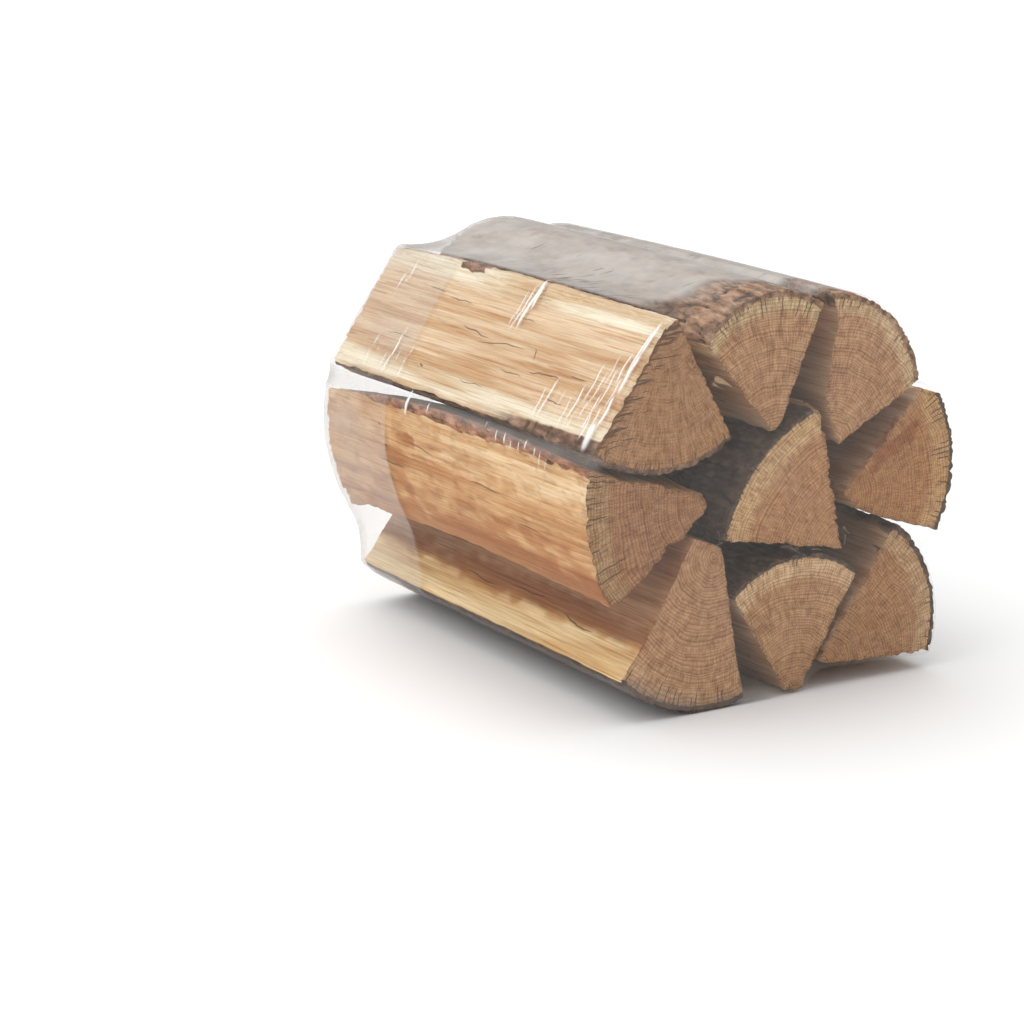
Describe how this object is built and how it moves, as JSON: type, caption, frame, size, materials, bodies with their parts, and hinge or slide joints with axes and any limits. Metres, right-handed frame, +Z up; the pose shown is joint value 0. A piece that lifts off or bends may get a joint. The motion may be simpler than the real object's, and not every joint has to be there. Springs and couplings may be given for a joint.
{
  "type": "firewood bundle",
  "caption": "Bundle of split firewood, wedge-shaped logs side by side in a snug bag of clear shrink film, closed at the front end and drawn in round an open ring at the back.",
  "frame": {"origin": "on the ground, under the middle of the bundle's bounding box", "axes": "+Y along the logs, from the closed front end to the open back end; +Z up; +X to the right, seen from the front end"},
  "size_m": [0.3552, 0.4116, 0.3278],
  "materials": {
    "wood_top_left": "rough split wood, pale sapwood along both edges and tan heartwood between",
    "wood_left": "rough split wood, cream to golden, fibrous, with a strip of reddish-brown bark",
    "wood_bottom_left": "rough split wood, golden, thin brown bark below",
    "wood_centre": "rough split wood, pale, with torn fibres",
    "wood_bottom": "rough split wood, pale sapwood, thin dark bark",
    "wood_bottom_right": "rough split wood, pale sapwood, thin dark bark",
    "wood_right": "rough split wood, tan heartwood with fine cracks, thin dark bark",
    "wood_top_right": "rough split wood, tan, ridged grey-brown bark",
    "wood_top": "rough split wood, pale, ridged grey-brown bark",
    "film": "clear glossy shrink film, wrinkled at its edges and slightly hazy"
  },
  "bodies": {
    "root": {"split_top_left": "wood_top_left", "split_left": "wood_left", "split_bottom_left": "wood_bottom_left", "split_centre": "wood_centre", "split_bottom": "wood_bottom", "split_bottom_right": "wood_bottom_right", "split_right": "wood_right", "split_top_right": "wood_top_right", "split_top": "wood_top", "shrink_film": "film"}
  },
  "joints": []
}
